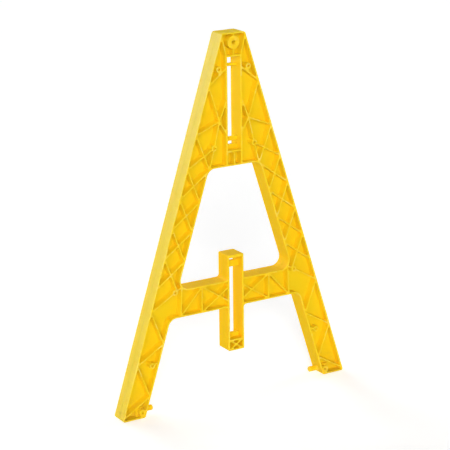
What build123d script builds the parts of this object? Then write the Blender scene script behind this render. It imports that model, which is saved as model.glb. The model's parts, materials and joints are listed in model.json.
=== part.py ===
from build123d import *
from math import atan2, degrees, hypot
import os

# End frame of a plank barricade: a moulded plastic A-frame made of two halves, back to back.
# Millimetres. X runs across the frame, Y from front to back, Z up from the ground.
# The halves meet at the seam, the plane Y = 0. Screws driven from the rear hold them together,
# and the two foot screws also pass through the foot pegs, which lie in seats across the seam.

# Overall sizes
height = 1000.0
base_width = 705.0
top_width = 70.0
depth = 50.0
leg_width = 65.0                # measured square to the leg

# Planks and the slots that hold them
plank_thickness = 38.0
plank_width = 184.0
plank_side_clearance = 1.0      # on each face of the plank
plank_edge_clearance = 2.0      # above and below the plank
keeper_depth = 10.0             # bars across a slot, which keep a plank at its height
upper_keeper = 7.0              # heights of the bars above a plank
lower_keeper = 17.0
upper_seat_bar = 10.5           # bar under the upper plank
sill = 12.0                     # raised foot of each slot
upper_end_gap = 20.5            # open end of a slot above its keeper
lower_end_gap = 13.5
seat_gap = 10.0                 # between the upper seat bar and the sill
slot_wall = 4.5
socket_cap = 8.0                # wall above the lower slot
lower_plank_seat = 177.0        # ground to the underside of the lower plank's opening

# Mouldings
rim = 4.0
web = 3.0
rib = 3.5
pocket_corner = 2.5
edge_round = 0.8
seam_chamfer = 0.5
top_corner = 8.0
foot_corner = 5.0
window_corner = 25.0
socket_root = 8.0
socket_corner = 3.0

# Head
top_cell = 54.5                 # top of the rim to the top of the upper slot's wall
head_cell = 32.5                # cell between the upper slot's floor and the head's bottom rim
lamp_boss_drop = 26.0
lamp_boss_radius = 17.5
lamp_bolt = 10.0
lamp_bolt_clearance = 1.0       # on the diameter
head_node_reach = 22.0          # rib node, from the middle of the slot wall
head_node_rise = 123.0          # rib nodes, from the bottom of the head
head_tie_rise = 261.0
head_rim_rise = 219.0
head_strut_rise = 178.0
head_prop_rise = 85.0
head_knee_rise = 95.0
head_screw_reach = 39.0
head_screw_rise = 54.0
crown_screw_inset = 20.0        # from the outer edge of the head
crown_screw_rise = 259.5

# Crossbar and socket
crossbar_bottom = 259.0
crossbar_height = 75.0
inner_post = 105.0              # upright ribs in the crossbar, from the middle of the frame
outer_post = 170.0
cross_rib_inset = 16.0          # crossed ribs on the socket wall, from the middle of the rims
socket_cell = 23.0              # ribbed cell under the lower slot

# Leg ribs
lattice_bays = 4
lattice_drop = 8.0              # start of the lattice, below the bottom of the head
lattice_lead = 16.0             # a node on the outer rim stands this much above its inner partner
zigzag_foot = 10.0              # end of the lowest rib, above the ground

# Screws and their bosses
screw = 5.0
screw_clearance = 0.2           # on the diameter
screw_head = 9.5
screw_head_height = 3.4
screw_head_round = 1.5
screw_recess = 1.0              # width of the cross recess
screw_point = 3.5
screw_blunt = 1.25              # diameter at the tip
screw_grip = 12.0               # the head's seat, from the seam
screw_reach = 18.0              # the tip, from the seam
head_clearance = 1.2            # on the diameter, round the screw head
boss_radius = 8.0
boss_core = 7.0                 # mouth of a boss on the front, above the tip
leg_screw_inset = 20.0          # from the inner edge of the leg
leg_screw_drop = 54.0           # below its rib node
brace_screw_inset = 6.0
brace_screw_drop = 4.0          # below the crossbar's top

# Foot pegs
peg = 15.0
peg_step = 2.0                  # the part held in the leg is this much thicker
peg_clearance = 0.2             # on the diameter
peg_reach = 28.0                # beyond the inner edge of the leg
shoulder_reach = 4.0
peg_tail = 12.0                 # beyond the foot screw
peg_rise = 15.0
peg_chamfer = 1.5
foot_boss_radius = 9.5
foot_boss_inset = 12.0          # from the inner edge of the leg
saddle_wall = 3.5

# Derived places
half_depth = depth / 2
lean = (base_width - top_width) / 2 / height
leg_level_width = leg_width * hypot(1, lean)
slot_width = plank_thickness + 2 * plank_side_clearance
slot_side = slot_width / 2
wall_x = slot_side + slot_wall / 2
opening_height = plank_width + 2 * plank_edge_clearance
upper_slot_top = height - rim - top_cell - slot_wall
upper_opening_top = upper_slot_top - upper_end_gap - upper_keeper
upper_plank_seat = upper_opening_top - opening_height
upper_slot_floor = upper_plank_seat - upper_seat_bar - seat_gap - sill
head_bottom = upper_slot_floor - slot_wall - head_cell - rim
crossbar_top = crossbar_bottom + crossbar_height
lower_opening_top = lower_plank_seat + opening_height
lower_slot_top = lower_opening_top + lower_keeper + lower_end_gap
lower_slot_floor = lower_plank_seat - sill
socket_side = slot_side + slot_wall
socket_top = lower_slot_top + socket_cap
socket_bottom = lower_slot_floor - slot_wall - socket_cell - rim
lamp_z = height - lamp_boss_drop
peg_held = peg + peg_step


def outer_x(z):
    """Outer edge of the right leg at a height."""
    return top_width / 2 + lean * (height - z)


def inner_x(z):
    """Inner edge of the right leg at a height."""
    return outer_x(z) - leg_level_width


def on_outer_rim(z):
    return outer_x(z) - rim / 2, z


def on_inner_rim(z):
    return inner_x(z) + rim / 2, z


def on_window_corner(edge_z, centre_z):
    """Middle of the rim where it goes round a large corner, towards the leg."""
    centre_x = inner_x(centre_z) - window_corner * hypot(1, lean)
    run, rise = inner_x(edge_z) - centre_x, edge_z - centre_z
    share = (window_corner + rim / 2) / hypot(run, rise)
    return centre_x + share * run, centre_z + share * rise


# Rib nodes on the right-hand side
lattice_top = head_bottom - lattice_drop
lattice_pitch = (lattice_top - crossbar_top) / lattice_bays
lattice_inner = [lattice_top - k * lattice_pitch for k in range(lattice_bays + 1)]
lattice_outer = [z + lattice_lead for z in lattice_inner]
zigzag_drops = [0, 1, 3, 4, 6, 7]
zigzag_step = (crossbar_top - zigzag_foot) / zigzag_drops[-1]
zigzag = [crossbar_top - n * zigzag_step for n in zigzag_drops]
head_node = (wall_x + head_node_reach, head_bottom + head_node_rise)
tie_wall = (wall_x, head_bottom + head_tie_rise)
tie_rim = on_outer_rim(head_bottom + head_rim_rise)
tie_slope = (tie_rim[1] - tie_wall[1]) / (tie_rim[0] - tie_wall[0])
head_corner_node = on_window_corner(head_bottom, head_bottom - window_corner)
knee_node = on_window_corner(crossbar_top, crossbar_top + window_corner)

# Screw places on the right-hand side
foot_at = (inner_x(peg_rise) + foot_boss_inset, peg_rise)
head_at = (wall_x + head_screw_reach, head_bottom + head_screw_rise)
crown_z = head_bottom + crown_screw_rise
crown_at = (outer_x(crown_z) - crown_screw_inset, crown_z)
crown_link = (crown_at[0], tie_wall[1] + tie_slope * (crown_at[0] - wall_x))    # on the tie rib below
brace_z = crossbar_top - brace_screw_drop
brace_at = (inner_x(brace_z) + brace_screw_inset, brace_z)
leg_z = zigzag[2] - leg_screw_drop
leg_at = (inner_x(leg_z) + leg_screw_inset, leg_z)
screw_places = {"crown": crown_at, "head": head_at, "brace": brace_at, "leg": leg_at, "foot": foot_at}


# Flat shapes: drawn with X across and Y standing for the height, then stood up at the seam
def polygon(points):
    return make_face(Polyline(*points, close=True))


def strip(a, b, width):
    """A straight bar between two points, a little longer so that it joins what it meets."""
    run, rise = b[0] - a[0], b[1] - a[1]
    middle = Pos((a[0] + b[0]) / 2, (a[1] + b[1]) / 2)
    return middle * Rot(0, 0, degrees(atan2(rise, run))) * Rectangle(hypot(run, rise) + rim / 2, width)


def block(x_from, x_to, z_from, z_to):
    return Pos((x_from + x_to) / 2, (z_from + z_to) / 2) * Rectangle(x_to - x_from, z_to - z_from)


def disc(place, radius):
    return Pos(*place) * Circle(radius)


def on_both_sides(shapes):
    """The given right-hand shapes and their mirror images."""
    return list(shapes) + [mirror(shape, about=Plane.YZ) for shape in shapes]


def round_corners(face, places, radius):
    """Round the corners of a face at the given right-hand places and at their mirror images."""
    corners = []
    for corner in face.vertices():
        if any(hypot(abs(corner.X) - x, corner.Y - z) < 0.01 for x, z in places):
            corners.append(corner)
    return fillet(corners, radius)


def opened(faces, radius):
    """Faces with rounded corners, made by moving the edges in and out. Tight ones are left out."""
    rounded = []
    for face in faces:
        roomy = 2 * face.area > 1.5 * radius * face.outer_wire().length
        if roomy:
            core = offset(face, amount=-radius, kind=Kind.INTERSECTION)
            rounded.append(offset(core, amount=radius, kind=Kind.ARC))
    return rounded


def stand(faces, start, thickness):
    """Flat shapes made solid, from a distance in front of the seam, towards the front."""
    return extrude(Plane.XZ.offset(start) * Sketch(children=faces), thickness)


def closed_loop(right_points):
    """A loop from right-hand points, top to bottom, and their mirror images."""
    return right_points + [(-x, z) for x, z in reversed(right_points)]


def make_outline():
    """The whole A: trapezoid, less the window and the gap under the crossbar, with the socket."""
    top = (top_width / 2, height)
    foot_out = (outer_x(0), 0)
    foot_in = (inner_x(0), 0)
    armpit = (inner_x(crossbar_bottom), crossbar_bottom)
    root_low = (socket_side, crossbar_bottom)
    socket_low = (socket_side, socket_bottom)
    frame = polygon(closed_loop([top, foot_out, foot_in, armpit, root_low, socket_low]))
    frame = round_corners(frame, [top], top_corner)
    frame = round_corners(frame, [foot_out, foot_in], foot_corner)
    frame = round_corners(frame, [armpit], window_corner)
    frame = round_corners(frame, [root_low], socket_root)
    frame = round_corners(frame, [socket_low], socket_corner)

    head_corner = (inner_x(head_bottom), head_bottom)
    knee = (inner_x(crossbar_top), crossbar_top)
    root_high = (socket_side, crossbar_top)
    socket_high = (socket_side, socket_top)
    window = polygon(closed_loop([head_corner, knee, root_high, socket_high]))
    window = round_corners(window, [head_corner, knee], window_corner)
    window = round_corners(window, [root_high], socket_root)
    window = round_corners(window, [socket_high], socket_corner)
    return frame - window


def head_ribs():
    strut_wall = (wall_x, head_bottom + head_strut_rise)
    prop_wall = (wall_x, head_bottom + head_prop_rise)
    knee_rim = on_outer_rim(head_bottom + head_knee_rise)
    flare_foot = (wall_x, upper_slot_top + slot_wall)
    flare_top = on_outer_rim(height - top_corner)
    pairs = [
        (flare_foot, flare_top),
        (tie_wall, tie_rim),
        (crown_link, crown_at),
        (tie_rim, head_node),
        (head_node, strut_wall),
        (head_node, prop_wall),
        (head_node, knee_rim),
        (head_node, head_at),
        (head_at, head_corner_node),
        (knee_rim, head_corner_node),
        (head_at, on_outer_rim(lattice_outer[0])),
    ]
    return [strip(a, b, rib) for a, b in pairs]


def leg_ribs():
    inner_nodes = [head_corner_node] + [on_inner_rim(z) for z in lattice_inner[1:]]
    outer_nodes = [on_outer_rim(z) for z in lattice_outer]
    ribs = [strip(brace_at, knee_node, rib)]
    for k in range(lattice_bays):
        ribs.append(strip(outer_nodes[k], inner_nodes[k + 1], rib))
        ribs.append(strip(inner_nodes[k], outer_nodes[k + 1], rib))
    ends = [on_outer_rim(z) if k % 2 else on_inner_rim(z) for k, z in enumerate(zigzag)]
    for a, b in zip(ends, ends[1:]):
        ribs.append(strip(a, b, rib))
    ribs.append(strip(leg_at, on_inner_rim(leg_z + lean * leg_screw_inset), rib))
    return ribs


def crossbar_ribs():
    low = crossbar_bottom + rim / 2
    high = crossbar_top - rim / 2
    side = socket_side - slot_wall / 2
    pairs = [
        ((inner_post, low), (inner_post, high)),
        ((outer_post, low), knee_node),
        ((side, low + cross_rib_inset), (inner_post, high)),
        ((side, high - cross_rib_inset), (inner_post, low)),
        ((inner_post, high), (outer_post, low)),
    ]
    return [strip(a, b, rib) for a, b in pairs]


def socket_ribs():
    low = socket_bottom + rim / 2
    high = lower_slot_floor - slot_wall / 2
    rising = strip((-slot_side, low), (slot_side, high), rib)
    return [rising, mirror(rising, about=Plane.YZ)]


def slot_walls():
    """Walls beside, above and below both slots, and the ribs in line with them."""
    side_walls = [
        block(slot_side, slot_side + slot_wall, head_bottom, upper_slot_top + slot_wall),
        block(slot_side, slot_side + slot_wall, socket_bottom, socket_top),
    ]
    ends = [
        block(-wall_x, wall_x, upper_slot_top, upper_slot_top + slot_wall),
        block(-wall_x, wall_x, upper_slot_floor - slot_wall, upper_slot_floor),
        block(-wall_x, wall_x, lower_slot_top, socket_top),
        block(-wall_x, wall_x, lower_slot_floor - slot_wall, lower_slot_floor),
    ]
    middle = [
        strip((0, head_bottom), (0, upper_slot_floor), rib),
        strip((0, upper_slot_top), (0, height - rim / 2), rib),
    ]
    return on_both_sides(side_walls) + ends + middle


def slots():
    upper = block(-slot_side, slot_side, upper_slot_floor, upper_slot_top)
    lower = block(-slot_side, slot_side, lower_slot_floor, lower_slot_top)
    return [upper, lower]


def keepers():
    """Bars and sills across the slots."""
    spans = [
        (upper_slot_floor, upper_slot_floor + sill),
        (upper_plank_seat - upper_seat_bar, upper_plank_seat),
        (upper_opening_top, upper_opening_top + upper_keeper),
        (lower_slot_floor, lower_plank_seat),
        (lower_opening_top, lower_opening_top + lower_keeper),
    ]
    return [block(-slot_side, slot_side, low, high) for low, high in spans]


def bosses():
    places = [disc(place, boss_radius) for name, place in screw_places.items() if name != "foot"]
    rings = places + [disc(foot_at, foot_boss_radius)]
    return on_both_sides(rings) + [disc((0, lamp_z), lamp_boss_radius)]


def make_blank():
    """One half without holes: rim and web, with ribs, walls, bosses and peg saddles left standing."""
    outline = make_outline()
    inside = offset(outline, amount=-rim, kind=Kind.ARC)
    ribs = on_both_sides(head_ribs() + leg_ribs() + crossbar_ribs()) + socket_ribs()
    cells = inside - (slots() + slot_walls() + bosses() + ribs)
    pockets = opened(cells.faces(), pocket_corner)
    openings = Sketch(children=slots()) - keepers()

    saddle_depth = peg_held / 2 + saddle_wall
    saddle = block(inner_x(0), foot_at[0] + peg_tail + saddle_wall, rim / 2, peg_rise + saddle_depth)
    saddles = stand(on_both_sides([saddle]), 0, saddle_depth)

    half = stand([outline], 0, half_depth)
    seam_face = half.faces().sort_by(Axis.Y)[-1]
    half = chamfer(seam_face.edges(), seam_chamfer)
    half = half - (stand(pockets, web, depth) - saddles)
    half = half - stand(slots(), keeper_depth / 2, depth)
    half = half - stand(openings.faces(), 0, keeper_depth)
    front_face = half.faces().sort_by(Axis.Y)[0]
    return fillet(front_face.edges(), edge_round)


def cylinder(place, radius, y_from, y_to):
    """A round bar along Y."""
    turned = Pos(place[0], (y_from + y_to) / 2, place[1]) * Rot(90, 0, 0)
    return turned * Cylinder(radius, y_to - y_from)


def peg_bar(x_from, x_to, diameter):
    """A round bar along X at the height of the pegs."""
    return Pos((x_from + x_to) / 2, 0, peg_rise) * Rot(0, 90, 0) * Cylinder(diameter / 2, x_to - x_from)


def peg_seat():
    """Room for the right-hand foot peg, from its tail out through the inner rim."""
    tail = foot_at[0] + peg_tail + peg_clearance / 2
    return peg_bar(inner_x(peg_rise) - peg_reach, tail, peg_held + peg_clearance)


def drill(half, front):
    """Lamp bolt hole, peg seats and screw holes. The front takes the tips, the rear the heads."""
    half = half - cylinder((0, lamp_z), (lamp_bolt + lamp_bolt_clearance) / 2, -depth, depth)
    cuts = [peg_seat()]
    for place in screw_places.values():
        cuts.append(cylinder(place, (screw + screw_clearance) / 2, -depth, depth))
        if front:
            cuts.append(cylinder(place, boss_core / 2, -depth, -screw_reach))
        else:
            cuts.append(cylinder(place, (screw_head + head_clearance) / 2, screw_grip, depth))
    return half - on_both_sides(cuts)


def make_peg():
    """Right-hand foot peg: a thicker tail held in the leg, a free end, and a cross hole for the screw."""
    edge = inner_x(peg_rise)
    tail = peg_bar(edge - shoulder_reach, foot_at[0] + peg_tail, peg_held)
    body = tail + peg_bar(edge - peg_reach, edge - shoulder_reach, peg)
    rounds = body.edges().filter_by(GeomType.CIRCLE).sort_by(Axis.X)
    body = chamfer([rounds[0], rounds[-1]], peg_chamfer)
    return body - cylinder(foot_at, (screw + screw_clearance) / 2, -peg, peg)


def make_screw(place):
    """Pan head screw with a cross recess and a pointed tip, driven from the rear."""
    shank = cylinder(place, screw / 2, screw_point - screw_reach, screw_grip)
    point = Pos(place[0], screw_point / 2 - screw_reach, place[1]) * Rot(90, 0, 0)
    point = point * Cone(screw / 2, screw_blunt / 2, screw_point)
    head = cylinder(place, screw_head / 2, screw_grip, screw_grip + screw_head_height)
    head = fillet(head.edges().sort_by(Axis.Y)[-1], screw_head_round)
    recess_at = Pos(place[0], screw_grip + screw_head_height, place[1])
    recess = Box(screw, screw_head_height, screw_recess) + Box(screw_recess, screw_head_height, screw)
    return shank + point + head - recess_at * recess


# Build and write every piece
os.makedirs("parts", exist_ok=True)
blank = make_blank()
pieces = {
    "front_half": drill(blank, True),
    "rear_half": drill(mirror(blank, about=Plane.XZ), False),
    "right_foot_peg": make_peg(),
    "left_foot_peg": mirror(make_peg(), about=Plane.YZ),
}
for name, place in screw_places.items():
    pieces[f"right_{name}_screw"] = make_screw(place)
    pieces[f"left_{name}_screw"] = make_screw((-place[0], place[1]))
for name, piece in pieces.items():
    export_step(piece, f"parts/{name}.step")
    print(name, len(piece.solids()), round(piece.volume / 1000, 1), "cm3")
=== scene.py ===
import json
from math import cos, radians, sin

import bpy
from mathutils import Matrix, Vector

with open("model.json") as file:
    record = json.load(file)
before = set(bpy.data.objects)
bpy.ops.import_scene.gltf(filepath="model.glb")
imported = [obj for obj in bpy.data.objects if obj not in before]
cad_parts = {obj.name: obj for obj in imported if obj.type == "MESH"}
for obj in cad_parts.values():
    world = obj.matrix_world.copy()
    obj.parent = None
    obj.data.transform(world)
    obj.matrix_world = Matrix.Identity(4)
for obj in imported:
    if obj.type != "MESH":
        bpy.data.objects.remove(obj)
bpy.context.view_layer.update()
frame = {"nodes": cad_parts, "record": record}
scene = bpy.context.scene

# Sizes in metres, in the frame of the model: X across, Y to the rear, Z up from the ground
HALF_DEPTH = 0.025
LEAN = 0.3175               # sideways over height, along a leg
LEG_EDGE = 0.3525           # outer edge of a leg on the ground
INNER_EDGE = 0.2843         # inner edge of a leg on the ground
HEAD_BOTTOM = 0.648
CROSSBAR_BOTTOM = 0.259
CROSSBAR_TOP = 0.334
SLOT_SIDE = 0.020           # half the width of a plank slot
PEG_END = 0.2515            # free end of a peg, from the middle
PEG_SHOULDER = 0.2755
DUST_HEIGHT = 0.09
MARGIN = 0.0005             # between a face and the limit that takes it in

# Colours, linear
YELLOW = (0.90, 0.60, 0.010, 1)
WARM_YELLOW = (0.91, 0.58, 0.008, 1)
# Painted highlight: the outermost faces are painted lighter than the recessed floors
CREST_HIGHLIGHT_YELLOW = (0.97, 0.645, 0.025, 1)
# Painted sheen on the legs' outer sides
SHEEN_YELLOW = (0.91, 0.70, 0.13, 1)
PALE_YELLOW = (0.95, 0.75, 0.20, 1)
# Painted light: paler colour for faces across the depth, to lift the shade in the pockets
LIT_WALL_YELLOW = (0.92, 0.64, 0.010, 1)
# Painted shade on the sides of the window, the gap and the socket
WINDOW_SHADE_YELLOW = (0.92, 0.56, 0.006, 1)
DUST = (0.40, 0.27, 0.08, 1)
ZINC = (0.62, 0.62, 0.60, 1)
ZINC_WARM = (0.60, 0.56, 0.46, 1)
ZINC_DARK = (0.30, 0.29, 0.27, 1)
WHITE = (1, 1, 1, 1)
FLOOR_GREY = (0.88, 0.88, 0.88, 1)

# Translucent plastic
PLASTIC_SPECULAR = 0.08
SCATTER_WEIGHT = 0.8
SCATTER_RADIUS = (1.0, 0.95, 0.3)
FRAME_SCATTER = 0.007       # metres
PEG_SCATTER = 0.004

# Floor and surroundings
FLOOR_SIZE = 60.0
FLOOR_DROP = 0.0003         # the floor lies this far below the feet
FLOOR_LIFT = 0.45           # own light of the floor, so that it looks white with a faint shadow
AMBIENT = 0.17


# Shader helpers: an input is given as a value or as another node's output
def add_node(tree, kind, inputs=None, **settings):
    made = tree.nodes.new(kind)
    for name, value in settings.items():
        setattr(made, name, value)
    for key, value in (inputs or {}).items():
        if isinstance(value, bpy.types.NodeSocket):
            tree.links.new(value, made.inputs[key])
        else:
            made.inputs[key].default_value = value
    return made


def maths(tree, operation, a, b=0.0):
    return add_node(tree, "ShaderNodeMath", {0: a, 1: b}, operation=operation).outputs[0]


def times(tree, a, b):
    return maths(tree, "MULTIPLY", a, b)


def plus(tree, a, b):
    return maths(tree, "ADD", a, b)


def larger(tree, a, b):
    return maths(tree, "MAXIMUM", a, b)


def magnitude(tree, value):
    """A value without its sign."""
    return maths(tree, "ABSOLUTE", value)


def complement(tree, share):
    """What a share leaves of the whole."""
    return maths(tree, "SUBTRACT", 1.0, share)


def ramp(tree, value, start, end, low=0.0, high=1.0):
    """A smooth step from low to high as a value goes from start to end."""
    inputs = {"Value": value, "From Min": start, "From Max": end, "To Min": low, "To Max": high}
    return add_node(tree, "ShaderNodeMapRange", inputs, interpolation_type="SMOOTHSTEP").outputs[0]


def within(tree, value, low, high):
    """1 where a value lies between two limits, 0 elsewhere."""
    inputs = {0: value, 1: (low + high) / 2, 2: (high - low) / 2}
    return add_node(tree, "ShaderNodeMath", inputs, operation="COMPARE").outputs[0]


def blend(tree, share, a, b):
    """Colour a where share is 0, colour b where it is 1."""
    return add_node(tree, "ShaderNodeMix", {0: share, 6: a, 7: b}, data_type="RGBA").outputs[2]


def layered(tree, colour, layers):
    """A colour under layers, each with a mask, a strength and its own colour."""
    for mask, strength, tint in layers:
        colour = blend(tree, times(tree, mask, strength), colour, tint)
    return colour


def noise(tree, place, scale, detail=3.0, roughness=0.5):
    """Noise from 0 to 1, with a scale in waves per unit of place."""
    inputs = {"Vector": place, "Scale": scale, "Detail": detail, "Roughness": roughness}
    return add_node(tree, "ShaderNodeTexNoise", inputs).outputs["Fac"]


def stretched(tree, place, turn, scale):
    """Coordinates turned about Y and stretched, for marks that run one way."""
    inputs = {"Vector": place, "Rotation": (0, radians(turn), 0), "Scale": scale}
    return add_node(tree, "ShaderNodeMapping", inputs).outputs[0]


def bump(tree, height, depth, below=None):
    """Relief of a given depth in metres, on top of another relief if there is one."""
    inputs = {"Height": height, "Distance": depth, "Strength": 1.0}
    if below is not None:
        inputs["Normal"] = below
    return add_node(tree, "ShaderNodeBump", inputs).outputs[0]


def split(tree, vector):
    """The X, Y and Z of a vector."""
    return add_node(tree, "ShaderNodeSeparateXYZ", {0: vector}).outputs


def new_material(name):
    material = bpy.data.materials.new(name)
    material.use_nodes = True
    tree = material.node_tree
    tree.nodes.clear()
    shader = add_node(tree, "ShaderNodeBsdfPrincipled")
    add_node(tree, "ShaderNodeOutputMaterial", {"Surface": shader.outputs[0]})
    return material, tree, shader


def connect(tree, shader, colour, roughness, normal):
    tree.links.new(colour, shader.inputs["Base Color"])
    tree.links.new(roughness, shader.inputs["Roughness"])
    tree.links.new(normal, shader.inputs["Normal"])


def make_translucent(shader, scatter):
    """Low gloss, and light that spreads inside the plastic over a given distance."""
    shader.inputs["Specular IOR Level"].default_value = PLASTIC_SPECULAR
    shader.inputs["Subsurface Weight"].default_value = SCATTER_WEIGHT
    shader.inputs["Subsurface Radius"].default_value = SCATTER_RADIUS
    shader.inputs["Subsurface Scale"].default_value = scatter


# Materials
def scratches(tree, place, turn):
    """Fine hairlines that run one way, 0 to 1."""
    along = stretched(tree, place, turn, (700, 60, 9))
    return ramp(tree, noise(tree, along, 1.0, 2.0), 0.66, 0.74)


def window_sides(tree, from_middle, across_leg, height):
    """1 on the sides of the window, the gap and the socket, 0 in the rib pockets."""
    between_legs = within(tree, across_leg, 0, INNER_EDGE + MARGIN)
    below_head = within(tree, height, 0, HEAD_BOTTOM + MARGIN)
    at_crossbar = within(tree, height, CROSSBAR_BOTTOM + MARGIN, CROSSBAR_TOP - MARGIN)
    at_slot = within(tree, from_middle, 0, SLOT_SIDE + MARGIN)
    in_pocket = times(tree, at_crossbar, complement(tree, at_slot))
    return times(tree, times(tree, between_legs, below_head), complement(tree, in_pocket))


def frame_plastic():
    """Moulded yellow plastic: uneven tone, fine grain, rubbed outer faces and dusty feet, with painted
    light: lighter outermost faces and walls, a paler painted sheen on the legs' outer sides and darker
    painted shade on the window sides.
    """
    material, tree, shader = new_material("frame_plastic")
    place = add_node(tree, "ShaderNodeTexCoord").outputs["Object"]
    parts = split(tree, place)
    height = parts["Z"]
    from_seam = magnitude(tree, parts["Y"])
    from_middle = magnitude(tree, parts["X"])
    across_leg = plus(tree, from_middle, times(tree, height, LEAN))

    # Where the surface lies: outermost faces, walls across them, legs' outer sides, window and feet
    surface = split(tree, add_node(tree, "ShaderNodeNewGeometry").outputs["Normal"])
    proud = ramp(tree, from_seam, HALF_DEPTH - 0.0012, HALF_DEPTH - 0.0002)
    corner = ramp(tree, from_seam, HALF_DEPTH - 0.007, HALF_DEPTH - 0.001)
    walls = ramp(tree, magnitude(tree, surface["Y"]), 0.75, 0.25)
    outside = ramp(tree, across_leg, LEG_EDGE - 0.0015, LEG_EDGE - 0.0005)
    window = times(tree, walls, window_sides(tree, from_middle, across_leg, height))
    near_ground = ramp(tree, height, DUST_HEIGHT, 0.0)

    # Tone, wear and dust, and a painted sheen on the legs' outer sides
    tone = noise(tree, place, 6.0, 3.0)
    mottle = noise(tree, place, 45.0, 4.0, 0.6)
    rubbed = ramp(tree, noise(tree, place, 28.0, 8.0, 0.65), 0.50, 0.66)
    hairlines = larger(tree, scratches(tree, place, 20), scratches(tree, place, -52))
    drags = ramp(tree, noise(tree, stretched(tree, place, 0, (8, 900, 8)), 1.0, 3.0), 0.60, 0.72)
    lines = larger(tree, times(tree, hairlines, proud), times(tree, drags, outside))
    rubbing = larger(tree, proud, times(tree, corner, outside))
    wear = larger(tree, lines, times(tree, rubbed, rubbing))
    dirt = times(tree, near_ground, ramp(tree, noise(tree, place, 60.0, 6.0, 0.7), 0.42, 0.70))
    # Painted sheen: the legs' outer sides are paler, more so towards the top
    painted_sheen = times(tree, outside, ramp(tree, height, 0.3, 1.0, 0.45, 1.0))

    base = blend(tree, ramp(tree, tone, 0.35, 0.65), YELLOW, WARM_YELLOW)
    colour = layered(tree, base, [
        # Painted light: faces across the depth, pocket walls among them, painted paler to lift their
        # shade
        (walls, 0.7, LIT_WALL_YELLOW),
        # Painted shade: the window, gap and socket sides painted a darker orange
        (window, 0.9, WINDOW_SHADE_YELLOW),
        # Painted highlight: outermost faces, rib crests and rims, painted lighter than the floors below
        # them
        (proud, 0.6, CREST_HIGHLIGHT_YELLOW),
        # Painted sheen: legs' outer sides painted paler, more so higher up
        (painted_sheen, 1.0, SHEEN_YELLOW),
        (ramp(tree, mottle, 0.5, 0.75), 0.25, WARM_YELLOW),
        (wear, 0.40, PALE_YELLOW),
        (dirt, 0.30, DUST),
    ])

    roughness = plus(tree, ramp(tree, mottle, 0.3, 0.7, 0.58, 0.68), times(tree, wear, 0.10))
    roughness = plus(tree, roughness, times(tree, dirt, 0.20))

    waves = bump(tree, noise(tree, place, 18.0, 1.0), 0.0006)
    grain = bump(tree, noise(tree, place, 800.0, 2.0, 0.6), 0.00014, waves)
    relief = bump(tree, lines, -0.00008, grain)
    connect(tree, shader, colour, roughness, relief)
    make_translucent(shader, FRAME_SCATTER)
    return material


def peg_plastic():
    """The frame's plastic with a smoother skin, worn pale on the free end."""
    material, tree, shader = new_material("peg_plastic")
    place = add_node(tree, "ShaderNodeTexCoord").outputs["Object"]
    from_middle = magnitude(tree, split(tree, place)["X"])
    tip = ramp(tree, from_middle, PEG_END + 0.006, PEG_END)
    shoulder = ramp(tree, from_middle, PEG_SHOULDER - 0.005, PEG_SHOULDER)

    mottle = noise(tree, place, 120.0, 4.0, 0.6)
    rings = noise(tree, stretched(tree, place, 0, (900, 20, 20)), 1.0, 2.0)
    rubbed = ramp(tree, noise(tree, place, 260.0, 6.0, 0.65), 0.40, 0.62)
    wear = times(tree, larger(tree, tip, shoulder), rubbed)

    base = blend(tree, ramp(tree, mottle, 0.35, 0.65), YELLOW, WARM_YELLOW)
    colour = layered(tree, base, [
        (wear, 0.35, PALE_YELLOW),
        (ramp(tree, mottle, 0.55, 0.75), 0.18, DUST),
    ])

    roughness = plus(tree, ramp(tree, mottle, 0.3, 0.7, 0.30, 0.42), times(tree, wear, 0.15))

    turned = bump(tree, rings, 0.00005)
    relief = bump(tree, noise(tree, place, 1500.0, 2.0), 0.00004, turned)
    connect(tree, shader, colour, roughness, relief)
    make_translucent(shader, PEG_SCATTER)
    return material


def screw_steel():
    """Zinc-plated steel with turning marks round the screw's axis."""
    material, tree, shader = new_material("screw_steel")
    coordinates = add_node(tree, "ShaderNodeTexCoord").outputs
    own = split(tree, coordinates["Generated"])
    across = maths(tree, "SUBTRACT", own["X"], 0.5)
    upwards = maths(tree, "SUBTRACT", own["Z"], 0.5)
    squares = plus(tree, times(tree, across, across), times(tree, upwards, upwards))
    radius = maths(tree, "SQRT", squares)
    rings = add_node(tree, "ShaderNodeCombineXYZ", {0: times(tree, radius, 60.0)}).outputs[0]
    turning = noise(tree, rings, 1.0, 3.0, 0.6)
    patina = noise(tree, coordinates["Object"], 500.0, 5.0, 0.6)

    base = blend(tree, ramp(tree, patina, 0.40, 0.65), ZINC, ZINC_WARM)
    colour = layered(tree, base, [(ramp(tree, turning, 0.52, 0.70), 0.35, ZINC_DARK)])
    roughness = ramp(tree, patina, 0.30, 0.70, 0.24, 0.46)
    turned = bump(tree, turning, 0.00006)
    relief = bump(tree, patina, 0.00003, turned)
    connect(tree, shader, colour, roughness, relief)
    shader.inputs["Metallic"].default_value = 1.0
    return material


finishes = {"frame_plastic": frame_plastic(), "peg_plastic": peg_plastic(), "screw_steel": screw_steel()}
for part in frame["record"]["subparts"]:
    for slot in frame["nodes"][part["node"]].material_slots:
        slot.material = finishes[part["material_slot"]]


# Floor and surroundings: white to the camera and in reflections, plain light for everything else
def background_rays(tree):
    """1 for rays that show the background: from the camera, in gloss and through clear things."""
    path = add_node(tree, "ShaderNodeLightPath").outputs
    seen = larger(tree, path["Is Camera Ray"], path["Is Glossy Ray"])
    return larger(tree, seen, path["Is Transmission Ray"])


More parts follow.
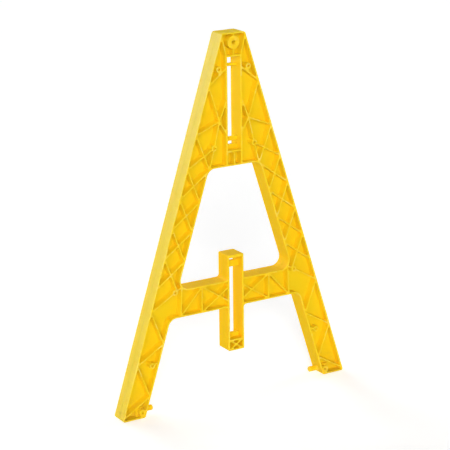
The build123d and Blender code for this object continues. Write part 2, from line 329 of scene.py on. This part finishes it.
def make_floor():
    bpy.ops.mesh.primitive_plane_add(size=FLOOR_SIZE, location=(0, 0, -FLOOR_DROP))
    floor = bpy.context.object
    floor.name = "floor"
    material = bpy.data.materials.new("floor")
    material.use_nodes = True
    tree = material.node_tree
    tree.nodes.clear()
    matt = add_node(tree, "ShaderNodeBsdfDiffuse", {"Color": FLOOR_GREY}).outputs[0]
    strength = times(tree, background_rays(tree), FLOOR_LIFT)
    glow = add_node(tree, "ShaderNodeEmission", {"Color": WHITE, "Strength": strength}).outputs[0]
    both = add_node(tree, "ShaderNodeAddShader", {0: matt, 1: glow}).outputs[0]
    add_node(tree, "ShaderNodeOutputMaterial", {"Surface": both})
    floor.data.materials.append(material)


def make_world():
    world = bpy.data.worlds.new("studio")
    world.use_nodes = True
    tree = world.node_tree
    tree.nodes.clear()
    strength = ramp(tree, background_rays(tree), 0.0, 1.0, AMBIENT, 1.0)
    light = add_node(tree, "ShaderNodeBackground", {"Color": WHITE, "Strength": strength}).outputs[0]
    add_node(tree, "ShaderNodeOutputWorld", {"Surface": light})
    scene.world = world


def direction(turn, height):
    """Unit vector towards a point left of the front by one angle and above the ground by another."""
    return Vector((-sin(turn) * cos(height), -cos(turn) * cos(height), sin(height)))


def add_sun(name, turn, height, angle, strength):
    """Even light from afar. Angles are in degrees: its place, and how wide and so how soft it is."""
    data = bpy.data.lights.new(name, "SUN")
    data.angle = radians(angle)
    data.energy = strength
    sun = bpy.data.objects.new(name, data)
    source = direction(radians(turn), radians(height))
    sun.rotation_euler = source.to_track_quat("Z", "Y").to_euler()
    scene.collection.objects.link(sun)


def add_lamp(name, location, target, size, power):
    """A round lamp that points at a target."""
    data = bpy.data.lights.new(name, "AREA")
    data.shape = "DISK"
    data.size = size
    data.energy = power
    lamp = bpy.data.objects.new(name, data)
    lamp.location = location
    lamp.rotation_euler = (Vector(target) - Vector(location)).to_track_quat("-Z", "Y").to_euler()
    scene.collection.objects.link(lamp)


make_floor()
make_world()
add_sun("key", turn=30, height=17, angle=20, strength=2.6)
add_sun("back", turn=178, height=16, angle=30, strength=1.6)
add_sun("side", turn=-100, height=10, angle=30, strength=1.6)
add_lamp("rim", location=(-1.5, 2.05, 1.05), target=(0, 0, 0.5), size=0.8, power=12)


# Camera: the photograph's angle, slightly rolled
def make_camera():
    turn, pitch, roll = radians(31.1056), radians(16.595), radians(-0.6713)
    target = Vector((-0.017256, 0, 0.481958))
    distance = 4.53749
    image_width, focal_pixels = 450, 1710.07
    back = direction(turn, pitch)
    level = Vector((cos(turn), -sin(turn), 0))
    upright = back.cross(level)
    right = cos(roll) * level + sin(roll) * upright
    up = cos(roll) * upright - sin(roll) * level
    data = bpy.data.cameras.new("camera")
    data.sensor_width = 36.0
    data.lens = focal_pixels / image_width * data.sensor_width
    data.clip_end = 100.0
    camera = bpy.data.objects.new("camera", data)
    axes = Matrix((right, up, back)).transposed()
    camera.matrix_world = Matrix.Translation(target + distance * back) @ axes.to_4x4()
    scene.collection.objects.link(camera)
    scene.camera = camera


make_camera()
scene.view_settings.view_transform = "Standard"
